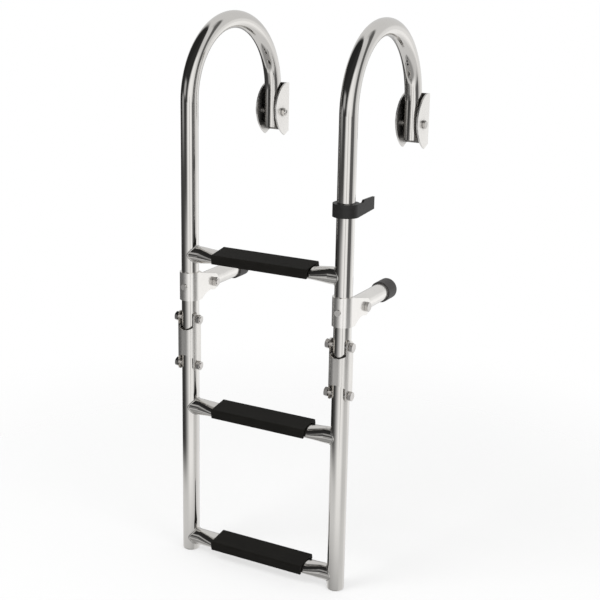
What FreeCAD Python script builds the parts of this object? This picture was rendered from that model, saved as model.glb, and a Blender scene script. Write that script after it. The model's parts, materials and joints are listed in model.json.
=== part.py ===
import FreeCAD, Part
import math
import os
import Sketcher

# Folding boarding ladder: two hooked tube uprights, a lower section that folds
# up on double pivoted links, three steps, standoff legs and end brackets.
# Lengths are in millimetres and angles in degrees.
# X runs across the ladder, Y to the rear, Z up. The origin lies on the rear
# face of the left end bracket, level with its bolt.

doc = FreeCAD.newDocument("ladder")
os.makedirs("parts", exist_ok=True)
V = FreeCAD.Vector
Rot = FreeCAD.Rotation

# driving dimensions
dims = doc.addObject("Spreadsheet::Sheet", "dims")
VALUES = [
    ("tube_dia", "25"),
    ("upright_spacing", "248"),
    ("toe_in", "1.8"),
    ("hook_radius", "108"),
    ("hook_drop", "34"),
    ("rear_end_length", "23"),
    ("end_round", "2.5"),
    ("bracket_depth", "19"),
    ("bracket_sheet", "2.5"),
    ("bracket_gap", "31"),
    ("bracket_front", "20"),
    ("bracket_top", "43"),
    ("bracket_bottom", "36"),
    ("bracket_nose_up", "4"),
    ("bracket_tip_back", "6.5"),
    ("bracket_crown_back", "9"),
    ("bracket_upper_curve", "43"),
    ("bracket_lower_curve", "48"),
    ("plate_bottom", "30"),
    ("mount_hole_dia", "6.4"),
    ("mount_hole_up", "30"),
    ("mount_hole_down", "17"),
    ("small_bolt_dia", "6"),
    ("small_flats", "10"),
    ("bolt_dia", "8"),
    ("bolt_flats", "12"),
    ("head_height", "4.6"),
    ("nut_height", "5.5"),
    ("small_head_height", "4"),
    ("thread_end", "1"),
    ("cap_nut_height", "8.5"),
    ("cap_nut_hex", "4.5"),
    ("cap_nut_neck", "4.7"),
    ("spacer_dia", "9.5"),
    ("pin_play", "0.2"),
    ("face_play", "0.3"),
    ("top_step_drop", "182"),
    ("hinge_below_step", "95"),
    ("middle_step_below_hinge", "65.5"),
    ("lower_step_pitch", "209.5"),
    ("foot_length", "21.5"),
    ("step_dia", "24"),
    ("step_taper_start", "20"),
    ("step_taper_end", "44"),
    ("step_flat_width", "30"),
    ("step_flat_height", "16.5"),
    ("step_tilt", "10"),
    ("weld_gap", "0.1"),
    ("tread_length", "152"),
    ("tread_depth", "38"),
    ("tread_thickness", "1.75"),
    ("tread_lip", "13"),
    ("tread_rear_lip", "9"),
    ("tread_lip_thickness", "3"),
    ("tread_round", "3.5"),
    ("tread_fill_width", "7"),
    ("tread_fill_height", "5.5"),
    ("tread_seat", "0.2"),
    ("hinge_pitch", "69.5"),
    ("hinge_forward", "5"),
    ("hinge_tube_overlap", "30"),
    ("link_sheet", "2.5"),
    ("link_front_play", "2.2"),
    ("link_side_play", "0.5"),
    ("link_ear", "9"),
    ("link_corner", "12"),
    ("link_notch_play", "0.4"),
    ("link_notch_drop", "11.5"),
    ("link_notch_curve", "21"),
    ("saddle_above_link", "18.5"),
    ("saddle_height", "41"),
    ("saddle_sheet", "2.5"),
    ("saddle_skirt", "8"),
    ("saddle_ear", "12"),
    ("saddle_ear_turn", "60"),
    ("saddle_hollow", "36"),
    ("saddle_screw_dia", "5"),
    ("saddle_screw_head", "8.5"),
    ("saddle_screw_dome", "2.5"),
    ("screw_seat", "0.1"),
    ("leg_pivot_back", "40"),
    ("leg_pivot_down", "1.3"),
    ("leg_length", "98"),
    ("leg_tilt", "1.2"),
    ("cap_wall", "2.5"),
    ("cap_length", "24"),
    ("cap_end", "4"),
    ("cap_play", "0.1"),
    ("clip_above_step", "92"),
    ("clip_ring_height", "18"),
    ("clip_wall", "5.5"),
    ("clip_arm", "3.4"),
    ("clip_arm_rise", "3.2"),
    ("clip_reach", "48"),
    ("clip_tip_rise", "4.4"),
    ("clip_play", "0.1"),
]
for row, (name, text) in enumerate(VALUES, start=1):
    dims.set("A%d" % row, name)
    dims.set("B%d" % row, text)
    dims.setAlias("B%d" % row, name)

# places that follow from the driving dimensions
PLACES = [
    ("tube_r", "tube_dia / 2"),
    ("hook_depth", "2 * hook_radius"),
    ("rear_half", "upright_spacing / 2 - hook_depth * sin(toe_in * 1deg)"),
    ("centre_x", "rear_half"),
    ("rear_y", "-bracket_depth"),
    ("upright_y", "rear_y - hook_depth * cos(toe_in * 1deg)"),
    ("left_x", "centre_x - upright_spacing / 2"),
    ("right_x", "centre_x + upright_spacing / 2"),
    ("rear_left_x", "centre_x - rear_half"),
    ("rear_right_x", "centre_x + rear_half"),
    ("hinge_y", "upright_y - hinge_forward"),
    ("top_step_z", "-top_step_drop"),
    ("upper_pivot_z", "top_step_z - hinge_below_step"),
    ("lower_pivot_z", "upper_pivot_z - hinge_pitch"),
    ("middle_step_z", "lower_pivot_z - middle_step_below_hinge"),
    ("bottom_step_z", "middle_step_z - lower_step_pitch"),
    ("upper_tube_end_z", "upper_pivot_z - hinge_tube_overlap"),
    ("lower_tube_end_z", "lower_pivot_z + hinge_tube_overlap"),
    ("foot_z", "bottom_step_z - foot_length"),
    ("link_half", "tube_r + link_side_play + link_sheet"),
    ("link_front", "tube_r + link_front_play + link_sheet"),
    ("saddle_half", "tube_r + pin_play / 2 + saddle_sheet"),
    ("leg_y", "upright_y + leg_pivot_back"),
    ("saddle_base", "upper_pivot_z + link_ear + saddle_above_link"),
    ("saddle_z", "saddle_base + saddle_height / 2"),
    ("leg_z", "saddle_z - leg_pivot_down"),
    ("clip_z", "top_step_z + clip_above_step"),
    ("pin_hole_dia", "bolt_dia + pin_play"),
    ("small_hole_dia", "small_bolt_dia + pin_play"),
    ("bracket_half", "bracket_gap / 2 + bracket_sheet"),
]
for row, (name, text) in enumerate(PLACES, start=len(VALUES) + 1):
    dims.set("A%d" % row, name)
    dims.set("B%d" % row, "=" + text)
    dims.setAlias("B%d" % row, name)
doc.recompute()

ALIASES = sorted((name for name, text in VALUES + PLACES), key=len, reverse=True)


def bound(text):
    """Put the sheet's name before each alias in an expression."""
    out = []
    word = ""
    for char in str(text) + " ":
        if char.isalnum() or char == "_":
            word += char
            continue
        out.append("dims." + word if word in ALIASES else word)
        out.append(char)
        word = ""
    return "".join(out).strip()


def number(text):
    result = doc.dims.evalExpression(bound(text))
    return float(getattr(result, "Value", result))


def bind(obj, prop, text):
    obj.setExpression(prop, bound(text))


def place(obj, x="0", y="0", z="0", rotation=None):
    """Set an object's rotation and tie its position to the sheet."""
    obj.Placement = FreeCAD.Placement(V(0, 0, 0), rotation or Rot())
    bind(obj, "Placement.Base.x", x)
    bind(obj, "Placement.Base.y", y)
    bind(obj, "Placement.Base.z", z)
    return obj


def turn(obj, angle):
    """Tie the turn of an object about its own axis to the sheet."""
    bind(obj, "Placement.Rotation.Angle", "(%s) * 1deg" % angle)
    return obj


X = V(1, 0, 0)
Z = V(0, 0, 1)
ALONG_X = Rot(V(0, 1, 0), 90)
# sketch plane with u to the rear, v up and its normal along X
SIDE = Rot(V(1, 1, 1), 120)


def cylinder(name, radius, height, x="0", y="0", z="0", rotation=None):
    obj = doc.addObject("Part::Cylinder", name)
    bind(obj, "Radius", radius)
    bind(obj, "Height", height)
    return place(obj, x, y, z, rotation)


def box(name, length, width, height, x, y, z, rotation=None):
    obj = doc.addObject("Part::Box", name)
    bind(obj, "Length", length)
    bind(obj, "Width", width)
    bind(obj, "Height", height)
    return place(obj, x, y, z, rotation)


def cut(name, base, tool):
    obj = doc.addObject("Part::Cut", name)
    obj.Base = base
    obj.Tool = tool
    return obj


def fuse(name, shapes):
    obj = doc.addObject("Part::MultiFuse", name)
    obj.Shapes = shapes
    obj.Refine = True
    return obj


def common(name, shapes):
    obj = doc.addObject("Part::MultiCommon", name)
    obj.Shapes = shapes
    return obj


def group(name, shapes):
    obj = doc.addObject("Part::Compound", name)
    obj.Links = shapes
    return obj


def outline(name, corners, arcs=None, rotation=None, x="0", y="0", z="0"):
    """Closed sketch through corners given as pairs of expressions.
    arcs maps a side's number to its shape: a radius or a pair for the centre,
    then +1 for a bulge to the right of the side's direction or -1 to the left."""
    arcs = arcs or {}
    sketch = doc.addObject("Sketcher::SketchObject", name)
    points = [V(number(u), number(v), 0) for u, v in corners]
    count = len(points)
    rules = []
    for i in range(count):
        a = points[i]
        b = points[(i + 1) % count]
        if i not in arcs:
            sketch.addGeometry(Part.LineSegment(a, b), False)
            continue
        shape, side = arcs[i]
        along = b.sub(a)
        half = along.Length / 2
        along.normalize()
        right = V(along.y, -along.x, 0)
        if isinstance(shape, tuple):
            centre = V(number(shape[0]), number(shape[1]), 0)
            radius = centre.distanceToPoint(a)
            # the centre keeps to the middle line of its side, so one
            # distance settles it
            if abs(along.x) > abs(along.y):
                rules.append((i, "DistanceY", shape[1]))
            else:
                rules.append((i, "DistanceX", shape[0]))
        else:
            radius = number(shape)
            depth = math.sqrt(max(radius * radius - half * half, 0.0))
            centre = a.add(b).multiply(0.5).sub(V(right).multiply(side * depth))
            rules.append((i, "Radius", shape))
        top = centre.add(V(right).multiply(side * radius))
        sketch.addGeometry(Part.Arc(a, top, b), False)
    starts = []
    for i in range(count):
        near = sketch.getPoint(i, 1).distanceToPoint(points[i])
        starts.append(1 if near < 1e-4 else 2)
    for i in range(count):
        j = (i + 1) % count
        sketch.addConstraint(
            Sketcher.Constraint("Coincident", i, 3 - starts[i], j, starts[j]))
    for i, (u, v) in enumerate(corners):
        for kind, text in (("DistanceX", u), ("DistanceY", v)):
            rule = Sketcher.Constraint(kind, -1, 1, i, starts[i], number(text))
            bind(sketch, "Constraints[%d]" % sketch.addConstraint(rule), text)
    for i, kind, text in rules:
        if kind == "Radius":
            rule = Sketcher.Constraint(kind, i, number(text))
        else:
            rule = Sketcher.Constraint(kind, -1, 1, i, 3, number(text))
        bind(sketch, "Constraints[%d]" % sketch.addConstraint(rule), text)
    place(sketch, x, y, z, rotation)
    return sketch


def extrude(name, profile, length, direction, both=False):
    obj = doc.addObject("Part::Extrusion", name)
    obj.Base = profile
    obj.DirMode = "Custom"
    obj.Dir = direction
    bind(obj, "LengthFwd", length)
    obj.Symmetric = both
    obj.Solid = True
    return obj


NODES = []


def node(obj, label):
    """Keep an object as a piece of the assembly."""
    NODES.append((obj, label))
    return obj


# bolts and nuts along X, each with its head outside and its nut inside
# side: turn from Z to the inward direction, sign of outward, sign of inward
HANDS = {
    "left": (Rot(V(0, 1, 0), 90), "-", "+"),
    "right": (Rot(V(0, 1, 0), -90), "+", "-"),
}


def chamfer(name, prism, flats, height, x, y, z, rotation):
    """Trim a hexagon's corners with a 30 degree cone about its axis."""
    cone = doc.addObject("Part::Cone", name)
    bind(cone, "Radius1", "(%s) / 2" % flats)
    bind(cone, "Radius2", "(%s) / 2 + sqrt(3) * (%s)" % (flats, height))
    bind(cone, "Height", height)
    place(cone, x, y, z, rotation)
    return common(name + "_trimmed", [prism, cone])


def hexagon(name, flats, height, x, y, z, rotation):
    """Hexagon that starts at x, its corners trimmed at that end."""
    prism = doc.addObject("Part::Prism", name)
    prism.Polygon = 6
    bind(prism, "Circumradius", "(%s) / sqrt(3)" % flats)
    bind(prism, "Height", height)
    place(prism, x, y, z, rotation)
    return chamfer(name + "_start", prism, flats, height, x, y, z, rotation)


def bolt(name, side, shank, flats, head, length, x, reach, y, z):
    """Hex bolt whose head's face lies at the given reach outside x."""
    inward, out = HANDS[side][:2]
    seat = "%s %s (%s)" % (x, out, reach)
    stem = cylinder(name + "_stem", "(%s) / 2" % shank, length, seat, y, z, inward)
    cap = hexagon(name + "_head", flats, head, "%s %s (%s)" % (seat, out, head),
                  y, z, inward)
    return node(fuse(name, [stem, cap]), name)


def nut(name, side, flats, height, shank, x, reach, y, z):
    """Hex nut that lies at the given reach inside x."""
    inward, out, back = HANDS[side]
    seat = "%s %s (%s)" % (x, back, reach)
    body = hexagon(name + "_body", flats, height, seat, y, z, inward)
    body = chamfer(name + "_end", body, flats, height,
                   "%s %s (%s)" % (seat, back, height), y, z,
                   inward.multiply(Rot(X, 180)))
    hole = cylinder(name + "_hole", "(%s + pin_play) / 2" % shank,
                    "%s + 2" % height, "%s %s 1" % (seat, out), y, z, inward)
    return node(cut(name, body, hole), name)


def cap_nut(name, side, x, reach, y, z):
    """Domed nut that closes the end of a bracket bolt."""
    inward, out, back = HANDS[side]
    seat = "%s %s (%s)" % (x, back, reach)
    body = hexagon(name + "_body", "small_flats", "cap_nut_hex", seat, y, z, inward)
    neck = cylinder(name + "_neck", "cap_nut_neck", "cap_nut_height - cap_nut_neck",
                    seat, y, z, inward)
    ball = doc.addObject("Part::Sphere", name + "_dome")
    bind(ball, "Radius", "cap_nut_neck")
    place(ball, "%s %s (cap_nut_height - cap_nut_neck)" % (seat, back), y, z)
    solid = fuse(name + "_solid", [body, neck, ball])
    hole = cylinder(name + "_hole", "small_hole_dia / 2", "cap_nut_hex + 1.5",
                    "%s %s 1" % (seat, out), y, z, inward)
    return node(cut(name, solid, hole), name)


# hook uprights: straight tube, half circle bend and short rear leg
def hook_upright(side, x, toe, rear_x):
    name = side + "_hook_upright"
    straight = cylinder(name + "_straight", "tube_r", "hook_drop - upper_tube_end_z",
                        "0", "0", "upper_tube_end_z")
    bend = doc.addObject("Part::Torus", name + "_bend")
    bind(bend, "Radius1", "hook_radius")
    bind(bend, "Radius2", "tube_r")
    bend.Angle3 = 180
    place(bend, "0", "hook_radius", "hook_drop", SIDE)
    rear = cylinder(name + "_rear", "tube_r", "hook_drop + rear_end_length",
                    "0", "hook_depth", "-rear_end_length")
    tube = fuse(name + "_tube", [straight, bend, rear])
    place(tube, x, "upright_y", "0", Rot(Z, 1))
    turn(tube, toe)
    hinge_hole = cylinder(name + "_hinge_hole", "pin_hole_dia / 2", "2 * tube_dia",
                          "%s - tube_dia" % x, "hinge_y", "upper_pivot_z", ALONG_X)
    rear_hole = cylinder(name + "_rear_hole", "small_hole_dia / 2", "2 * tube_dia",
                         "%s - tube_dia" % rear_x, "rear_y", "0", ALONG_X)
    holes = fuse(name + "_holes", [hinge_hole, rear_hole])
    return node(cut(name, tube, holes), name)


hook_upright("left", "left_x", "-toe_in", "rear_left_x")
hook_upright("right", "right_x", "toe_in", "rear_right_x")


# lower uprights with a hinge hole near the top and a rounded foot
def lower_upright(side, x):
    name = side + "_lower_upright"
    tube = cylinder(name + "_tube", "tube_r", "lower_tube_end_z - foot_z - end_round",
                    x, "upright_y", "foot_z + end_round")
    rim = doc.addObject("Part::Torus", name + "_foot_rim")
    bind(rim, "Radius1", "tube_r - end_round")
    bind(rim, "Radius2", "end_round")
    place(rim, x, "upright_y", "foot_z + end_round")
    foot = cylinder(name + "_foot", "tube_r - end_round", "2 * end_round",
                    x, "upright_y", "foot_z")
    solid = fuse(name + "_solid", [tube, rim, foot])
    hole = cylinder(name + "_hole", "pin_hole_dia / 2", "2 * tube_dia",
                    "%s - tube_dia" % x, "hinge_y", "lower_pivot_z", ALONG_X)
    return node(cut(name, solid, hole), name)


lower_upright("left", "left_x")
lower_upright("right", "right_x")


# step bars: round tube at the uprights, pressed flat under the tread
def step_bar(name, z):
    tilted = Rot(X, number("step_tilt")).multiply(SIDE)

    def ring(tag, x, wide, high):
        loop = doc.addObject("Part::Ellipse", name + "_" + tag)
        bind(loop, "MajorRadius", wide)
        bind(loop, "MinorRadius", high)
        return place(loop, x, "upright_y", z, tilted)

    flat = ("step_flat_width / 2", "step_flat_height / 2")
    full = ("step_dia / 2 + 0.01", "step_dia / 2")
    pieces = []
    for side, x, sign in (("left", "left_x", "+"), ("right", "right_x", "-")):
        round_ring = ring(side + "_round", "%s %s step_taper_start" % (x, sign), *full)
        flat_ring = ring(side + "_flat", "%s %s step_taper_end" % (x, sign), *flat)
        pieces.append(extrude("%s_%s_end" % (name, side), round_ring,
                              "step_taper_start", V(-1 if sign == "+" else 1, 0, 0)))
        taper = doc.addObject("Part::Loft", "%s_%s_taper" % (name, side))
        taper.Sections = [round_ring, flat_ring]
        taper.Solid = True
        taper.Ruled = True
        pieces.append(taper)
    middle_ring = ring("middle", "left_x + step_taper_end", *flat)
    pieces.append(extrude(name + "_middle", middle_ring,
                          "upright_spacing - 2 * step_taper_end", X))
    solid = fuse(name + "_solid", pieces)
    posts = []
    for side, x in (("left", "left_x"), ("right", "right_x")):
        posts.append(cylinder("%s_%s_cope" % (name, side), "tube_r + weld_gap",
                              "3 * tube_dia", x, "upright_y",
                              "%s - 1.5 * tube_dia" % z))
    return node(cut(name, solid, fuse(name + "_copes", posts)), name)


step_bar("top_step_bar", "top_step_z")
step_bar("middle_step_bar", "middle_step_z")
step_bar("bottom_step_bar", "bottom_step_z")


# treads: channel of plastic over the flattened bar
def tread(name, z):
    tilt = Rot(X, number("step_tilt"))
    top = "step_flat_height / 2 + tread_seat + tread_thickness"
    low = "step_flat_height / 2 + tread_seat"
    half = "tread_depth / 2"
    corners = [
        ("-(%s)" % half, "%s - tread_lip" % top),
        ("tread_lip_thickness - %s" % half, "%s - tread_lip" % top),
        ("tread_lip_thickness - %s" % half, "%s - tread_fill_height" % low),
        ("tread_lip_thickness + tread_fill_width - %s" % half, low),
        ("%s - tread_lip_thickness - tread_fill_width" % half, low),
        ("%s - tread_lip_thickness" % half, "%s - tread_fill_height" % low),
        ("%s - tread_lip_thickness" % half, "%s - tread_rear_lip" % top),
        (half, "%s - tread_rear_lip" % top),
        (half, "%s - tread_round" % top),
        ("%s - tread_round" % half, top),
        ("tread_round - %s" % half, top),
        ("-(%s)" % half, "%s - tread_round" % top),
    ]
    arcs = {8: ("tread_round", 1), 10: ("tread_round", 1)}
    section = outline(name + "_section", corners, arcs, tilt.multiply(SIDE),
                      "centre_x - tread_length / 2", "upright_y", z)
    return node(extrude(name, section, "tread_length", X), name)


tread("top_tread", "top_step_z")
tread("middle_tread", "middle_step_z")
tread("bottom_tread", "bottom_step_z")


# hinge links: sheet channel with an ear at each pivot and a front wall between
def channel_plan(name, x, half, front, corner, z):
    """Plan of a channel open to the rear, about a hinge pivot."""
    corners = [
        ("-(%s)" % half, "link_ear * 2"),
        ("-(%s)" % half, "%s + %s" % (front, corner)),
        ("%s - (%s)" % (corner, half), front),
        ("%s - (%s)" % (half, corner), front),
        (half, "%s + %s" % (front, corner)),
        (half, "link_ear * 2"),
    ]
    arcs = {
        1: (corner, 1),
        3: (corner, 1),
    }
    return outline(name, corners, arcs, Rot(), x, "hinge_y", z)


def hinge_link(side, x):
    name = side + "_hinge_link"
    front = "(hinge_forward - link_front)"
    # side outline about the upper pivot, u to the rear and v up
    corners = [
        ("link_ear", "0"),
        ("-link_ear", "0"),
        (front, "-link_ear"),
        (front, "link_ear - hinge_pitch"),
        ("-link_ear", "-hinge_pitch"),
        ("link_ear", "-hinge_pitch"),
    ]
    arcs = {0: (("0", "0"), 1), 4: (("0", "-hinge_pitch"), 1)}
    side_face = outline(name + "_side", corners, arcs, SIDE,
                        "%s - link_half" % x, "hinge_y", "upper_pivot_z")
    block = extrude(name + "_block", side_face, "2 * link_half", X)
    low = "lower_pivot_z - 2 * link_ear"
    tall = "hinge_pitch + 4 * link_ear"
    outer = extrude(name + "_outer", channel_plan(
        name + "_outer_plan", x, "link_half", front, "link_corner", low), tall, Z)
    inner = extrude(name + "_inner", channel_plan(
        name + "_inner_plan", x, "(link_half - link_sheet)",
        "(hinge_forward - link_front + link_sheet)", "(link_corner - link_sheet)",
        low), tall, Z)
    channel = cut(name + "_channel", common(name + "_form", [block, outer]), inner)
    room = []
    for tag, z, sign in (("upper", "upper_pivot_z", "+"), ("lower", "lower_pivot_z", "-")):
        room.append(cylinder("%s_%s_hole" % (name, tag), "pin_hole_dia / 2",
                             "4 * link_half", "%s - 2 * link_half" % x,
                             "hinge_y", z, ALONG_X))
        # the wall ends in a wide notch that the folding tube swings through
        half = "(tube_r + link_notch_play)"
        far = "(3 * link_ear)"
        if sign == "+":
            bottom, top, curved = "-link_notch_drop", far, 0
        else:
            bottom, top, curved = "-" + far, "link_notch_drop", 2
        corners = [("-" + half, bottom), (half, bottom), (half, top), ("-" + half, top)]
        mouth = outline("%s_%s_mouth" % (name, tag), corners,
                        {curved: ("link_notch_curve", 1)}, Rot(X, 90),
                        x, "hinge_y", z)
        room.append(extrude("%s_%s_notch" % (name, tag), mouth, "link_front",
                            V(0, -1, 0)))
    return node(cut(name, channel, fuse(name + "_room", room)), name)


hinge_link("left", "left_x")
hinge_link("right", "right_x")

for SIDE_NAME, SIDE_X in (("left", "left_x"), ("right", "right_x")):
    for LEVEL, LEVEL_Z in (("upper", "upper_pivot_z"), ("lower", "lower_pivot_z")):
        bolt("%s_%s_hinge_bolt" % (SIDE_NAME, LEVEL), SIDE_NAME, "bolt_dia",
             "bolt_flats", "head_height",
             "2 * link_half + 2 * face_play + nut_height + thread_end",
             SIDE_X, "link_half + face_play", "hinge_y", LEVEL_Z)
        nut("%s_%s_hinge_nut" % (SIDE_NAME, LEVEL), SIDE_NAME, "bolt_flats",
            "nut_height", "bolt_dia", SIDE_X, "link_half + face_play",
            "hinge_y", LEVEL_Z)


# standoff saddles: sheet wrapped round the upright, with ears for the leg
def saddle(side, x):
    name = side + "_standoff_saddle"
    half_height = "saddle_height / 2"
    ring = cylinder(name + "_wrap", "saddle_half", "saddle_height", x, "upright_y",
                    "saddle_base")
    # cheek outline about the upright's axis, u to the rear and v up
    corners = [
        ("0", "-(%s)" % half_height),
        ("saddle_skirt", "-(%s)" % half_height),
        ("leg_pivot_back - saddle_ear * cos(saddle_ear_turn * 1deg)",
         "-leg_pivot_down - saddle_ear * sin(saddle_ear_turn * 1deg)"),
        ("leg_pivot_back", "saddle_ear - leg_pivot_down"),
        ("0", half_height),
    ]
    arcs = {1: ("saddle_hollow", -1),
            2: (("leg_pivot_back", "-leg_pivot_down"), 1)}
    cheek_face = outline(name + "_cheek", corners, arcs, SIDE,
                         "%s - saddle_half" % x, "upright_y", "saddle_z")
    cheeks = extrude(name + "_cheeks", cheek_face, "2 * saddle_half", X)
    whole = fuse(name + "_whole", [ring, cheeks])
    bore = cylinder(name + "_bore", "saddle_half - saddle_sheet", "2 * saddle_height",
                    x, "upright_y", "saddle_z - saddle_height")
    slot = box(name + "_slot", "2 * (saddle_half - saddle_sheet)",
               "2 * leg_pivot_back", "2 * saddle_height",
               "%s - saddle_half + saddle_sheet" % x, "upright_y",
               "saddle_z - saddle_height")
    leg_hole = cylinder(name + "_leg_hole", "pin_hole_dia / 2", "4 * saddle_half",
                        "%s - 2 * saddle_half" % x, "leg_y", "leg_z", ALONG_X)
    screw_hole = cylinder(name + "_screw_hole", "(saddle_screw_dia + pin_play) / 2",
                          "2 * saddle_half", x, "upright_y", "saddle_z", Rot(X, 90))
    room = fuse(name + "_room", [bore, slot, leg_hole, screw_hole])
    node(cut(name, whole, room), name)
    screw_name = side + "_saddle_screw"
    start = "upright_y - saddle_half - screw_seat"
    dome = cylinder(screw_name + "_head", "saddle_screw_head / 2", "saddle_screw_dome",
                    x, start, "saddle_z", Rot(X, 90))
    shank = cylinder(screw_name + "_shank", "saddle_screw_dia / 2",
                     "saddle_sheet + screw_seat", x,
                     "upright_y - saddle_half + saddle_sheet", "saddle_z", Rot(X, 90))
    node(fuse(screw_name, [dome, shank]), screw_name)


saddle("left", "left_x")
saddle("right", "right_x")


# standoff legs: tube pivoted in the saddle, rounded there, with a rubber cap
def leg(side, x):
    name = side + "_leg_tube"
    back = Rot(X, -90 + number("leg_tilt"))
    tube = cylinder(name + "_tube", "tube_r", "leg_length - cap_end",
                    x, "leg_y", "leg_z", back)
    eye = cylinder(name + "_eye", "tube_r", "tube_dia", "%s - tube_r" % x,
                   "leg_y", "leg_z", ALONG_X)
    knuckle = common(name + "_knuckle", [
        eye,
        cylinder(name + "_body", "tube_r", "2 * tube_dia", x,
                 "leg_y - tube_dia * cos(leg_tilt * 1deg)",
                 "leg_z - tube_dia * sin(leg_tilt * 1deg)", back),
    ])
    solid = fuse(name + "_solid", [tube, knuckle])
    hole = cylinder(name + "_hole", "pin_hole_dia / 2", "2 * tube_dia",
                    "%s - tube_dia" % x, "leg_y", "leg_z", ALONG_X)
    node(cut(name, solid, hole), name)
    cap_name = side + "_leg_cap"
    shift = "(leg_length - cap_length)"
    outer = cylinder(cap_name + "_outer", "tube_r + cap_wall", "cap_length", x,
                     "leg_y + %s * cos(leg_tilt * 1deg)" % shift,
                     "leg_z + %s * sin(leg_tilt * 1deg)" % shift, back)
    bore = cylinder(cap_name + "_bore", "tube_r + cap_play", "leg_length - cap_end",
                    x, "leg_y", "leg_z", back)
    node(cut(cap_name, outer, bore), cap_name)
    bolt(side + "_leg_bolt", side, "bolt_dia", "bolt_flats", "head_height",
         "2 * saddle_half + 2 * face_play + nut_height + thread_end",
         x, "saddle_half + face_play", "leg_y", "leg_z")
    nut(side + "_leg_nut", side, "bolt_flats", "nut_height", "bolt_dia",
        x, "saddle_half + face_play", "leg_y", "leg_z")


leg("left", "left_x")
leg("right", "right_x")


# end brackets: folded sheet with two leaf shaped cheeks and a base plate
def end_bracket(side, x):
    name = side + "_end_bracket"
    # cheek outline about the bolt, u to the rear and v up
    corners = [
        ("bracket_depth", "-(plate_bottom)"),
        ("bracket_tip_back", "-bracket_bottom"),
        ("-bracket_front", "bracket_nose_up"),
        ("bracket_crown_back", "bracket_top"),
        ("bracket_depth", "bracket_top"),
    ]
    arcs = {1: ("bracket_lower_curve", -1), 2: ("bracket_upper_curve", -1)}
    face = outline(name + "_cheek", corners, arcs, SIDE,
                   "%s - bracket_half" % x, "rear_y", "0")
    block = extrude(name + "_block", face, "2 * bracket_half", X)
    hollow = box(name + "_hollow", "bracket_gap",
                 "2 * (bracket_front + bracket_depth)", "3 * bracket_top",
                 "%s - bracket_gap / 2" % x,
                 "-bracket_sheet - 2 * (bracket_front + bracket_depth)",
                 "-1.5 * bracket_top")
    below = box(name + "_below", "bracket_gap", "2 * bracket_depth",
                "bracket_bottom", "%s - bracket_gap / 2" % x, "-bracket_depth",
                "-plate_bottom - bracket_bottom")
    holes = [hollow, below]
    holes.append(cylinder(name + "_bolt_hole", "small_hole_dia / 2",
                          "4 * bracket_half", "%s - 2 * bracket_half" % x,
                          "rear_y", "0", ALONG_X))
    for tag, z in (("upper", "mount_hole_up"), ("lower", "-mount_hole_down")):
        holes.append(cylinder("%s_%s_hole" % (name, tag), "mount_hole_dia / 2",
                              "4 * bracket_sheet", x, "2 * bracket_sheet", z,
                              Rot(X, 90)))
    return node(cut(name, block, fuse(name + "_room", holes)), name)


for SIDE_NAME, SIDE_X in (("left", "rear_left_x"), ("right", "rear_right_x")):
    end_bracket(SIDE_NAME, SIDE_X)
    bolt(SIDE_NAME + "_bracket_bolt", SIDE_NAME, "small_bolt_dia", "small_flats",
         "small_head_height", "2 * bracket_half + 2 * face_play + cap_nut_hex",
         SIDE_X, "bracket_half + face_play", "rear_y", "0")
    cap_nut(SIDE_NAME + "_bracket_nut", SIDE_NAME, SIDE_X,
            "bracket_half + face_play", "rear_y", "0")
    RINGS = []
    for TAG, START in (("outer", "%s + tube_r + face_play" % SIDE_X),
                       ("inner", "%s - bracket_gap / 2 + face_play" % SIDE_X)):
        RING = cylinder("%s_spacer_%s" % (SIDE_NAME, TAG), "spacer_dia / 2",
                        "bracket_gap / 2 - tube_r - 2 * face_play", START,
                        "rear_y", "0", ALONG_X)
        BORE = cylinder("%s_spacer_%s_bore" % (SIDE_NAME, TAG), "small_hole_dia / 2",
                        "bracket_gap", "%s - bracket_gap / 2" % START,
                        "rear_y", "0", ALONG_X)
        RINGS.append(cut("%s_spacer_%s_ring" % (SIDE_NAME, TAG), RING, BORE))
    node(group(SIDE_NAME + "_bracket_spacers", RINGS), SIDE_NAME + "_bracket_spacers")


# retaining clip: plastic ring on the right upright with two arms behind
def clip():
    name = "retaining_clip"
    outer = "(tube_r + clip_play + clip_wall)"
    ring = cylinder(name + "_ring", outer, "clip_ring_height", "right_x", "upright_y",
                    "clip_z - clip_ring_height / 2")
    # arm outline about the ring's middle, u to the rear and v up
    half = "clip_ring_height / 2"
    corners = [
        ("0", "-(%s)" % half),
        ("clip_reach", "clip_tip_rise - %s" % half),
        ("clip_reach", "%s + clip_arm_rise" % half),
        (outer, "%s + clip_arm_rise" % half),
        ("%s - clip_arm_rise" % outer, half),
        ("0", half),
    ]
    face = outline(name + "_side", corners, None, SIDE,
                   "right_x - %s" % outer, "upright_y", "clip_z")
    block = extrude(name + "_block", face, "2 * %s" % outer, X)
    gap = box(name + "_gap", "2 * (%s - clip_arm)" % outer, "2 * clip_reach",
              "2 * clip_ring_height", "right_x - %s + clip_arm" % outer,
              "upright_y", "clip_z - clip_ring_height")
    whole = fuse(name + "_whole", [ring, cut(name + "_arms", block, gap)])
    bore = cylinder(name + "_bore", "tube_r + clip_play", "2 * clip_ring_height",
                    "right_x", "upright_y", "clip_z - clip_ring_height")
    return node(cut(name, whole, bore), name)


clip()

doc.recompute()


def check(obj):
    """Stop when an object failed to build or its shape isn't sound."""
    if "Invalid" in obj.State or "Error" in obj.State:
        raise RuntimeError("%s did not build: %s" % (obj.Name, obj.State))
    shape = getattr(obj, "Shape", None)
    if shape is None:
        return
    if shape.isNull() or not shape.isValid():
        raise RuntimeError("%s has no valid shape" % obj.Name)


for item in doc.Objects:
    check(item)

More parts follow.
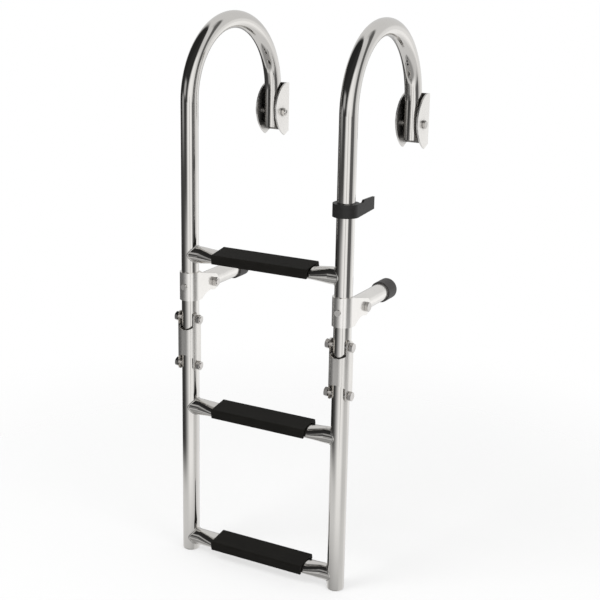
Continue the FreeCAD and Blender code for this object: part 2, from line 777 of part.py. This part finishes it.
for item, label in NODES:
    if not item.Shape.Solids:
        raise RuntimeError("%s holds no solid" % label)
    item.Shape.exportStep("parts/%s.step" % label)
    FreeCAD.Console.PrintMessage("%s %d solids %.0f mm3\n" % (
        label, len(item.Shape.Solids), item.Shape.Volume))
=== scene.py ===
import bpy
import json
import math
from mathutils import Matrix, Vector


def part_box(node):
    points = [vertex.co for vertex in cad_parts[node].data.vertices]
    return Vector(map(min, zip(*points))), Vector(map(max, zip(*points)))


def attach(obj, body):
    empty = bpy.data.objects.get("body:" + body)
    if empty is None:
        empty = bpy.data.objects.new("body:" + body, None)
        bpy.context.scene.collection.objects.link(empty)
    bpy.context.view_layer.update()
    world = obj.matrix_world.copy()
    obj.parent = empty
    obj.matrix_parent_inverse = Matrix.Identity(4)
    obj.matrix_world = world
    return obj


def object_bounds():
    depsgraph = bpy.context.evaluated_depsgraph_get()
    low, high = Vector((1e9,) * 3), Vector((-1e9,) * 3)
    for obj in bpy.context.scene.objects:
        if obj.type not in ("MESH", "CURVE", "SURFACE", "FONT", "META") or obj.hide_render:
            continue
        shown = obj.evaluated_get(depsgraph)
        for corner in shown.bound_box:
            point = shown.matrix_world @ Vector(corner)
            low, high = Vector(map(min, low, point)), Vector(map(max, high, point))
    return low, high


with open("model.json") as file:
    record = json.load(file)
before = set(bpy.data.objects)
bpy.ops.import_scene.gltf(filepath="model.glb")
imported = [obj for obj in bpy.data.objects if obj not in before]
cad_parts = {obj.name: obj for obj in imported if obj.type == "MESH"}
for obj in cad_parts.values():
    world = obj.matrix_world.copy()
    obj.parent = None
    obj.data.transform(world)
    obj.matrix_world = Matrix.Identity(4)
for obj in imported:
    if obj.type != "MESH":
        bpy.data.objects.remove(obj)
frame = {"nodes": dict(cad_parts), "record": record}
CAD_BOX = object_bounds()
NODES = frame["nodes"]

# photo's camera, fitted to the edges of the tubes
CAMERA_PLACE = (0.9892, -1.7024, 0.2421)
CAMERA_AZIMUTH = 29.04
CAMERA_PITCH = 15.52
CAMERA_ROLL = 1.10
CAMERA_LENS = 76.1
SENSOR_WIDTH = 36.0

# studio in metres, with the floor's fade as shares of its radius
DOME_RADIUS = 2.6
DOME_SIDES = 64
DOME_ROWS = 32
FLOOR_RADIUS = 1.1
FLOOR_SIDES = 64
FLOOR_COLOUR = (0.95, 0.95, 0.95, 1.0)
FLOOR_CLEARNESS = 0.55
FADE_START = 0.35
FADE_END = 0.95

# plain light: the world's strength, and two soft lamps
WHITE = (1.0, 1.0, 1.0, 1.0)
WORLD_LIGHT = 0.70
LAMP_SIZE = 1.2
LAMPS = {
    # x and y from the object's middle, height, power
    "key_lamp": (-0.8, -1.5, 1.5, 22.0),
    "fill_lamp": (1.6, -0.6, 0.6, 8.0),
}

# What the dome holds, as soft edged patches. Turns are shares of a full turn
# from -X about Z, heights are the sine of the elevation, and a lean moves the
# turn with the square of the height.
WALL_TONE = 0.68
PATCHES = {
    # tone, turn of the middle, half width, soft edge, low, high, soft edge, lean
    "floor_shade": (0.32, 0.240, 0.200, 0.050, -1.50, -0.56, 0.05, 0.0),
    "window": (1.00, 0.337, 0.088, 0.060, -0.50, 0.76, 0.06, 0.0),
    "side_glow": (0.86, 0.690, 0.085, 0.030, -0.60, 0.20, 0.12, 0.0),
    "side_window": (1.00, 0.690, 0.085, 0.030, -0.40, -0.10, 0.04, 0.0),
    "stand_shadow": (0.64, 0.478, 0.032, 0.035, -0.66, -0.24, 0.06, 0.0),
    "camera_stand": (0.58, 0.332, 0.012, 0.010, -0.40, 0.10, 0.05, 0.0),
    "drape_foot": (0.045, 0.015, 0.175, 0.100, -0.455, 0.08, 0.03, 0.0),
    "drape_hem": (0.065, 0.130, 0.105, 0.030, -0.15, 0.03, 0.05, 0.0),
    "drape": (0.022, 0.085, 0.153, 0.030, -0.02, 1.50, 0.06, 0.0),
    "drape_fold": (0.030, 0.160, 0.100, 0.035, 0.02, 1.50, 0.06, 0.155),
    "horizon_glow": (0.36, 0.095, 0.036, 0.024, -0.05, 0.12, 0.05, 0.0),
    "lamp_glow": (0.46, 0.160, 0.035, 0.030, 0.12, 0.40, 0.06, 0.0),
    "stand_skirt": (0.10, 0.447, 0.032, 0.016, -0.31, 0.04, 0.08, 0.0),
    "dark_stand": (0.12, 0.487, 0.046, 0.016, -0.31, 0.93, 0.08, 0.155),
}

# colours of the finishes, each dark one with that of its scuffs, bloom or flow marks
STEEL_COLOUR = (0.81, 0.79, 0.76)
SHEET_COLOUR = (0.93, 0.91, 0.88)
LINK_COLOUR = (0.82, 0.80, 0.77)
BOLT_COLOUR = (0.66, 0.64, 0.62)
WELD_COLOUR = (0.74, 0.74, 0.73)
WELD_STRAW = (0.55, 0.53, 0.50)
TREAD_COLOUR = (0.0085, 0.0080, 0.0067)
TREAD_SCUFF = (0.0135, 0.0127, 0.0110)
RUBBER_COLOUR = (0.037, 0.034, 0.033)
RUBBER_BLOOM = (0.057, 0.053, 0.051)
CLIP_COLOUR = (0.0155, 0.0147, 0.0140)
CLIP_FLOW = (0.0215, 0.0206, 0.0200)

# painted shade in shut in faces: how near its neighbours are to a shut in face, and the
# share of its colour it keeps there
PAINTED_SHADE_REACH = 0.02
PAINTED_SHADE_TONE = 0.22

# weld beads in metres, with the ripples as a share of the bead's radius
TUBE_RADIUS = 0.0125
BEAD_RADIUS = 0.0013
BEAD_SIDES = 72
BEAD_CORNERS = 8
RIPPLES = 26
RIPPLE_DEPTH = 0.10
STEPS = (
    ("top", "hook_upright", "upper_section"),
    ("middle", "lower_upright", "lower_section"),
    ("bottom", "lower_upright", "lower_section"),
)


# node helpers
class Graph:
    """Short calls for making a material's nodes."""

    def __init__(self, name):
        self.material = bpy.data.materials.new(name)
        self.material.use_nodes = True
        self.nodes = self.material.node_tree.nodes
        self.links = self.material.node_tree.links
        self.nodes.clear()
        self.output = self.nodes.new("ShaderNodeOutputMaterial")

    def add(self, kind, **settings):
        node = self.nodes.new(kind)
        for key, value in settings.items():
            setattr(node, key, value)
        return node

    def link(self, source, target):
        self.links.new(source, target)

    def ramp(self, factor, stops):
        """Colour ramp through (place, grey or colour) stops."""
        node = self.add("ShaderNodeValToRGB")
        elements = node.color_ramp.elements
        while len(elements) > 1:
            elements.remove(elements[-1])
        for index, (place, value) in enumerate(stops):
            colour = value if isinstance(value, tuple) else (value, value, value)
            element = elements[0] if index == 0 else elements.new(place)
            element.position = place
            element.color = (*colour, 1.0)
        self.link(factor, node.inputs["Fac"])
        return node.outputs["Color"]

    def stretched(self, scale):
        """Object coordinates, scaled along each axis to size and stretch a pattern."""
        place = self.add("ShaderNodeTexCoord")
        mapping = self.add("ShaderNodeMapping")
        mapping.inputs["Scale"].default_value = scale
        self.link(place.outputs["Object"], mapping.inputs["Vector"])
        return mapping.outputs["Vector"]

    def noise(self, scale, detail=2.0, roughness=0.5):
        node = self.add("ShaderNodeTexNoise")
        node.inputs["Scale"].default_value = 1.0
        node.inputs["Detail"].default_value = detail
        node.inputs["Roughness"].default_value = roughness
        self.link(self.stretched(scale), node.inputs["Vector"])
        return node.outputs["Fac"]

    def pebbles(self, scale):
        node = self.add("ShaderNodeTexVoronoi")
        node.inputs["Scale"].default_value = 1.0
        self.link(self.stretched(scale), node.inputs["Vector"])
        return node.outputs["Distance"]

    def spread(self, value, low, high):
        """Map a 0 to 1 value to a range."""
        node = self.add("ShaderNodeMapRange")
        node.inputs["To Min"].default_value = low
        node.inputs["To Max"].default_value = high
        self.link(value, node.inputs["Value"])
        return node.outputs["Result"]

    def bump(self, height, strength, distance):
        node = self.add("ShaderNodeBump")
        node.inputs["Strength"].default_value = strength
        node.inputs["Distance"].default_value = distance
        self.link(height, node.inputs["Height"])
        return node.outputs["Normal"]

    def painted_shade(self, tint, tone):
        """Paint shade into a tint where neighbouring faces shut it in."""
        openness = self.add("ShaderNodeAmbientOcclusion", samples=8)
        openness.inputs["Distance"].default_value = PAINTED_SHADE_REACH
        shading = self.ramp(openness.outputs["AO"], [(0.45, tone), (0.90, 1.0)])
        shaded = self.add("ShaderNodeVectorMath", operation="MULTIPLY")
        self.link(tint, shaded.inputs[0])
        self.link(shading, shaded.inputs[1])
        return shaded.outputs["Vector"]

    def finish(self, tint, roughness, normal, **values):
        """Close the material with a shader on these links and plain values."""
        shader = self.add("ShaderNodeBsdfPrincipled")
        for key, value in values.items():
            shader.inputs[key.replace("_", " ")].default_value = value
        self.link(tint, shader.inputs["Base Color"])
        self.link(roughness, shader.inputs["Roughness"])
        self.link(normal, shader.inputs["Normal"])
        self.link(shader.outputs["BSDF"], self.output.inputs["Surface"])
        return self.material


def dimmed(colour, share):
    return tuple(c * share for c in colour)


# finishes
def polished_steel():
    """Mirror polished tube with faint buffing marks and soft smears."""
    g = Graph("polished_steel_finish")
    marks = g.noise((900.0, 900.0, 60.0), detail=3.0, roughness=0.6)
    smears = g.noise((14.0, 14.0, 14.0))
    tint = g.ramp(smears, [(0.30, dimmed(STEEL_COLOUR, 0.95)), (0.65, STEEL_COLOUR)])
    return g.finish(tint, g.spread(smears, 0.05, 0.12),
                    g.bump(marks, strength=0.02, distance=0.0001), Metallic=1.0)


def sheet_steel(name, colour, smooth, rough, shade_share=1.0):
    """Bright sheet, lightly brushed along Z, with painted shade that keeps the given share
    of its colour where shut in.
    """
    g = Graph(name)
    brushing = g.noise((1400.0, 1400.0, 40.0))
    smears = g.noise((45.0, 45.0, 30.0))
    tint = g.ramp(smears, [(0.30, dimmed(colour, 0.96)), (0.65, colour)])
    # painted shade, darker where neighbouring faces shut the sheet in
    if shade_share < 1.0:
        tint = g.painted_shade(tint, shade_share)
    return g.finish(tint, g.spread(smears, smooth, rough),
                    g.bump(brushing, strength=0.03, distance=0.0001), Metallic=0.90)


def bolt_steel():
    """Plain machined steel, duller than the tube, with a fine turned grain."""
    g = Graph("bolt_steel_finish")
    grain = g.noise((300.0, 1800.0, 1800.0), detail=3.0, roughness=0.6)
    blotches = g.noise((120.0, 120.0, 120.0))
    tint = g.ramp(blotches, [(0.30, dimmed(BOLT_COLOUR, 0.88)), (0.70, BOLT_COLOUR)])
    return g.finish(tint, g.spread(grain, 0.08, 0.14),
                    g.bump(grain, strength=0.03, distance=0.0001), Metallic=1.0)


def weld_steel():
    """Weld metal with overlapping ripples and a patchy straw tint."""
    g = Graph("weld_steel_finish")
    ripples = g.noise((700.0, 700.0, 700.0))
    tint = g.ramp(ripples, [(0.30, WELD_STRAW), (0.70, WELD_COLOUR)])
    return g.finish(tint, g.spread(ripples, 0.22, 0.42),
                    g.bump(ripples, strength=0.35, distance=0.0004), Metallic=1.0)


def tread_plastic():
    """Matt moulded plastic with a pebbled grain and dusty scuffs."""
    g = Graph("tread_plastic_finish")
    grain = g.pebbles((1500.0, 1500.0, 1500.0))
    scuffs = g.noise((30.0, 90.0, 90.0), detail=5.0, roughness=0.65)
    tint = g.ramp(scuffs, [(0.35, TREAD_COLOUR), (0.80, TREAD_SCUFF)])
    return g.finish(tint, g.spread(scuffs, 0.50, 0.66),
                    g.bump(grain, strength=0.30, distance=0.0002), Specular_IOR_Level=0.08)


def dark_rubber():
    """Soft dark grey rubber with a fine grain and paler bloom."""
    g = Graph("dark_rubber_finish")
    grain = g.noise((1600.0, 1600.0, 1600.0))
    bloom = g.noise((60.0, 60.0, 60.0), detail=4.0, roughness=0.6)
    tint = g.ramp(bloom, [(0.35, RUBBER_COLOUR), (0.75, RUBBER_BLOOM)])
    return g.finish(tint, g.spread(bloom, 0.45, 0.62),
                    g.bump(grain, strength=0.20, distance=0.0002))


def clip_plastic():
    """Satin black plastic with faint flow marks."""
    g = Graph("clip_plastic_finish")
    flow = g.noise((260.0, 60.0, 260.0), detail=3.0)
    tint = g.ramp(flow, [(0.30, CLIP_COLOUR), (0.80, CLIP_FLOW)])
    return g.finish(tint, g.spread(flow, 0.36, 0.50),
                    g.bump(flow, strength=0.10, distance=0.0002), Specular_IOR_Level=0.30)


FINISHES = {
    "polished_steel": polished_steel(),
    "sheet_steel": sheet_steel("sheet_steel_finish", SHEET_COLOUR, 0.17, 0.25),
    "bolt_steel": bolt_steel(),
    "tread_plastic": tread_plastic(),
    "dark_rubber": dark_rubber(),
    "clip_plastic": clip_plastic(),
}
WELD = weld_steel()
# satin steel with painted shade darkening its shut in faces
SHADED_SATIN = sheet_steel("satin_steel_shaded_finish", SHEET_COLOUR, 0.24, 0.32, PAINTED_SHADE_TONE)
LINK = sheet_steel("link_steel_finish", LINK_COLOUR, 0.19, 0.27)
# nodes whose finish differs from the rest of their slot, by the name's ending
OWN_FINISHES = {
    "end_bracket": SHADED_SATIN,
    "saddle_screw": SHADED_SATIN,
    "bracket_nut": FINISHES["polished_steel"],
    "hinge_link": LINK,
    "leg_tube": FINISHES["sheet_steel"],
}


def finish_nodes():
    """Give each CAD node its own finish, or that of its record slot."""
    for part in frame["record"]["subparts"]:
        finish = FINISHES[part["material_slot"]]
        for ending, own in OWN_FINISHES.items():
            if part["node"].endswith(ending):
                finish = own
        for slot in NODES[part["node"]].material_slots:
            slot.material = finish


# weld beads round the ends of the step bars
def bead_path(upright, step, side):
    """Centre, outward direction and radius of the bead, all the way round."""
    low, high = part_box(upright)
    bar_low, bar_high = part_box(step)
    bar_middle = (bar_low + bar_high) / 2
    bar_radius = (bar_high.z - bar_low.z) / 2
    axis_x = low.x + TUBE_RADIUS if side > 0 else high.x - TUBE_RADIUS
    axis_y = low.y + TUBE_RADIUS
    path = []
    for i in range(BEAD_SIDES):
        turn = 2 * math.pi * i / BEAD_SIDES
        out_y = math.cos(turn)
        out_z = math.sin(turn)
        y = bar_radius * out_y
        reach = math.sqrt(TUBE_RADIUS ** 2 - y ** 2)
        centre = Vector((axis_x + side * reach, axis_y + y,
                         bar_middle.z + bar_radius * out_z))
        ripple = 1.0 + RIPPLE_DEPTH * math.sin(turn * RIPPLES)
        path.append((centre, Vector((0, out_y, out_z)), BEAD_RADIUS * ripple))
    return path


def bead_verts(path, side):
    verts = []
    for centre, outward, radius in path:
        for j in range(BEAD_CORNERS):
            lean = 2 * math.pi * j / BEAD_CORNERS
            offset = outward * math.cos(lean) + Vector((side, 0, 0)) * math.sin(lean)
            verts.append(centre + offset * radius)
    return verts


def bead_faces(side):
    faces = []
    for i in range(BEAD_SIDES):
        for j in range(BEAD_CORNERS):
            a = i * BEAD_CORNERS + j
            b = i * BEAD_CORNERS + (j + 1) % BEAD_CORNERS
            c = (i + 1) % BEAD_SIDES * BEAD_CORNERS + (j + 1) % BEAD_CORNERS
            d = (i + 1) % BEAD_SIDES * BEAD_CORNERS + j
            faces.append((a, b, c, d) if side < 0 else (d, c, b, a))
    return faces


def weld_bead(name, upright, step, side, body):
    """Rippled bead where a step bar's round end meets an upright."""
    mesh = bpy.data.meshes.new(name)
    mesh.from_pydata(bead_verts(bead_path(upright, step, side), side), [], bead_faces(side))
    mesh.shade_smooth()
    mesh.materials.append(WELD)
    bead = bpy.data.objects.new(name, mesh)
    bpy.context.scene.collection.objects.link(bead)
    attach(bead, body)


# studio: pale floor, white backdrop, soft lamps and what the chrome reflects
def stage_object(name, verts, faces, material):
    mesh = bpy.data.meshes.new(name)
    mesh.from_pydata(verts, [], faces)
    mesh.materials.append(material)
    obj = bpy.data.objects.new(name, mesh)
    bpy.context.scene.collection.objects.link(obj)
    return obj


def floor_material(middle):
    """Pale floor that fades into the white backdrop away from the object."""
    g = Graph("floor_finish")
    place = g.add("ShaderNodeTexCoord")
    centred = g.add("ShaderNodeVectorMath", operation="SUBTRACT")
    g.link(place.outputs["Object"], centred.inputs[0])
    centred.inputs[1].default_value = middle
    length = g.add("ShaderNodeVectorMath", operation="LENGTH")
    g.link(centred.outputs["Vector"], length.inputs[0])
    fade = g.add("ShaderNodeMapRange", interpolation_type="SMOOTHSTEP")
    fade.inputs["From Min"].default_value = FADE_START * FLOOR_RADIUS
    fade.inputs["From Max"].default_value = FADE_END * FLOOR_RADIUS
    fade.inputs["To Min"].default_value = FLOOR_CLEARNESS
    g.link(length.outputs["Value"], fade.inputs["Value"])
    plain = g.add("ShaderNodeBsdfDiffuse")
    plain.inputs["Color"].default_value = FLOOR_COLOUR
    clear = g.add("ShaderNodeBsdfTransparent")
    mix = g.add("ShaderNodeMixShader")
    g.link(fade.outputs["Result"], mix.inputs["Fac"])
    g.link(plain.outputs["BSDF"], mix.inputs[1])
    g.link(clear.outputs["BSDF"], mix.inputs[2])
    g.link(mix.outputs["Shader"], g.output.inputs["Surface"])
    return g.material


def make_floor(middle):
    """Disc under the object that mirrors don't see."""
    verts = [middle]
    faces = []
    for i in range(FLOOR_SIDES):
        turn = 2 * math.pi * i / FLOOR_SIDES
        verts.append((middle.x + FLOOR_RADIUS * math.cos(turn),
                      middle.y + FLOOR_RADIUS * math.sin(turn), middle.z))
        faces.append((0, 1 + i, 1 + (i + 1) % FLOOR_SIDES))
    floor = stage_object("floor", verts, faces, floor_material(middle))
    floor.visible_glossy = False


class Dome(Graph):
    """Emission built up from patches on a plain wall tone."""

    def maths(self, operation, first, second=None, third=None):
        node = self.add("ShaderNodeMath", operation=operation)
        for socket, value in zip(node.inputs, (first, second, third)):
            if isinstance(value, float):
                socket.default_value = value
            elif value is not None:
                self.link(value, socket)
        return node.outputs["Value"]

    def step(self, value, middle, soft):
        """Smooth rise from 0 to 1 about a middle value."""
        node = self.add("ShaderNodeMapRange", interpolation_type="SMOOTHSTEP")
        node.inputs["From Min"].default_value = middle - soft
        node.inputs["From Max"].default_value = middle + soft
        self.link(value, node.inputs["Value"])
        return node.outputs["Result"]

    def direction(self, middle):
        """Turn about Z and height of a point as seen from the middle."""
        place = self.add("ShaderNodeTexCoord")
        centred = self.add("ShaderNodeVectorMath", operation="SUBTRACT")
        self.link(place.outputs["Object"], centred.inputs[0])
        centred.inputs[1].default_value = middle
        unit = self.add("ShaderNodeVectorMath", operation="NORMALIZE")
        self.link(centred.outputs["Vector"], unit.inputs[0])
        parts = self.add("ShaderNodeSeparateXYZ")
        self.link(unit.outputs["Vector"], parts.inputs["Vector"])
        angle = self.maths("ARCTAN2", parts.outputs["Y"], parts.outputs["X"])
        share = self.maths("MULTIPLY_ADD", angle, 0.5 / math.pi, 0.5)
        return share, parts.outputs["Z"]

    def cover(self, share, height, entry):
        """How far a patch covers each point, from 0 to 1."""
        turn, half, soft, low, high, edge, lean = entry
        if lean:
            square = self.maths("MULTIPLY", height, height)
            share = self.maths("SUBTRACT", share, self.maths("MULTIPLY", square, lean))
        shifted = self.maths("SUBTRACT", share, turn - 0.5)
        wrapped = self.maths("FRACT", shifted)
        away = self.maths("ABSOLUTE", self.maths("SUBTRACT", wrapped, 0.5))
        across = self.maths("SUBTRACT", 1.0, self.step(away, half, soft))
        above = self.step(height, low, edge)
        below = self.maths("SUBTRACT", 1.0, self.step(height, high, edge))
        return self.maths("MULTIPLY", across, self.maths("MULTIPLY", above, below))

    def blend(self, tone, grey, cover):
        """Lay a grey over the tone so far."""
        mix = self.add("ShaderNodeMix", data_type="FLOAT")
        self.link(cover, mix.inputs["Factor"])
        if isinstance(tone, float):
            mix.inputs["A"].default_value = tone
        else:
            self.link(tone, mix.inputs["A"])
        mix.inputs["B"].default_value = grey
        return mix.outputs["Result"]


def dome_material(middle):
    g = Dome("dome_finish")
    share, height = g.direction(middle)
    tone = WALL_TONE
    for grey, *entry in PATCHES.values():
        tone = g.blend(tone, grey, g.cover(share, height, entry))
    glow = g.add("ShaderNodeEmission")
    g.link(tone, glow.inputs["Color"])
    g.link(glow.outputs["Emission"], g.output.inputs["Surface"])
    return g.material


def make_dome(middle):
    """Ball round the studio that only mirrors see."""
    verts = []
    faces = []
    for j in range(DOME_ROWS + 1):
        rise = math.pi * (j / DOME_ROWS - 0.5)
        level = DOME_RADIUS * math.cos(rise)
        for i in range(DOME_SIDES):
            turn = 2 * math.pi * i / DOME_SIDES
            verts.append((middle.x + level * math.cos(turn),
                          middle.y + level * math.sin(turn),
                          middle.z + DOME_RADIUS * math.sin(rise)))
    for j in range(DOME_ROWS):
        for i in range(DOME_SIDES):
            after = (i + 1) % DOME_SIDES
            faces.append((j * DOME_SIDES + i, (j + 1) * DOME_SIDES + i,
                          (j + 1) * DOME_SIDES + after, j * DOME_SIDES + after))
    dome = stage_object("studio_dome", verts, faces, dome_material(middle))
    dome.visible_camera = False
    dome.visible_diffuse = False
    dome.visible_shadow = False
    dome.visible_volume_scatter = False


def make_world():
    """White behind the object and in its reflections, plain light elsewhere."""
    world = bpy.data.worlds.new("studio")
    bpy.context.scene.world = world
    world.use_nodes = True
    nodes = world.node_tree.nodes
    links = world.node_tree.links
    nodes.clear()
    path = nodes.new("ShaderNodeLightPath")
    seen = path.outputs["Is Camera Ray"]
    for ray in ("Is Glossy Ray", "Is Transmission Ray"):
        either = nodes.new("ShaderNodeMath")
        either.operation = "MAXIMUM"
        links.new(seen, either.inputs[0])
        links.new(path.outputs[ray], either.inputs[1])
        seen = either.outputs["Value"]
    mix = nodes.new("ShaderNodeMixShader")
    links.new(seen, mix.inputs["Fac"])
    for socket, strength in ((mix.inputs[1], WORLD_LIGHT), (mix.inputs[2], 1.0)):
        light = nodes.new("ShaderNodeBackground")
        light.inputs["Color"].default_value = WHITE
        light.inputs["Strength"].default_value = strength
        links.new(light.outputs["Background"], socket)
    output = nodes.new("ShaderNodeOutputWorld")
    links.new(mix.outputs["Shader"], output.inputs["Surface"])


def soft_lamp(name, place, target, power):
    """Round lamp that mirrors don't see, turned to the target."""
    lamp = bpy.data.lights.new(name, "AREA")
    lamp.shape = "DISK"
    lamp.size = LAMP_SIZE
    lamp.energy = power
    obj = bpy.data.objects.new(name, lamp)
    obj.location = place
    obj.rotation_mode = "QUATERNION"
    obj.rotation_quaternion = (target - place).to_track_quat("-Z", "Y")
    obj.visible_glossy = False
    bpy.context.scene.collection.objects.link(obj)


def make_camera():
    """Camera at the photo's place and angle."""
    azimuth = math.radians(CAMERA_AZIMUTH)
    pitch = math.radians(CAMERA_PITCH)
    roll = math.radians(CAMERA_ROLL)
    forward = Vector((-math.sin(azimuth) * math.cos(pitch),
                      math.cos(azimuth) * math.cos(pitch), -math.sin(pitch)))
    level = Vector((math.cos(azimuth), math.sin(azimuth), 0.0))
    rise = level.cross(forward)
    right = level * math.cos(roll) + rise * math.sin(roll)
    up = rise * math.cos(roll) - level * math.sin(roll)
    data = bpy.data.cameras.new("photo_camera")
    data.lens = CAMERA_LENS
    data.sensor_width = SENSOR_WIDTH
    camera = bpy.data.objects.new("photo_camera", data)
    turn = Matrix((right, up, -forward)).transposed().to_4x4()
    camera.matrix_world = Matrix.Translation(CAMERA_PLACE) @ turn
    bpy.context.scene.collection.objects.link(camera)
    bpy.context.scene.camera = camera


finish_nodes()
for level, upright, body in STEPS:
    for hand, side in (("left", 1), ("right", -1)):
        weld_bead("%s_%s_weld" % (level, hand), "%s_%s" % (hand, upright),
                  "%s_step_bar" % level, side, body)

MIDDLE = (CAD_BOX[0] + CAD_BOX[1]) / 2
make_floor(Vector((MIDDLE.x, MIDDLE.y, CAD_BOX[0].z)))
make_dome(MIDDLE)
make_world()
for name, (x, y, height, power) in LAMPS.items():
    soft_lamp(name, Vector((MIDDLE.x + x, MIDDLE.y + y, height)), MIDDLE, power)
make_camera()
bpy.context.scene.view_settings.view_transform = "Standard"
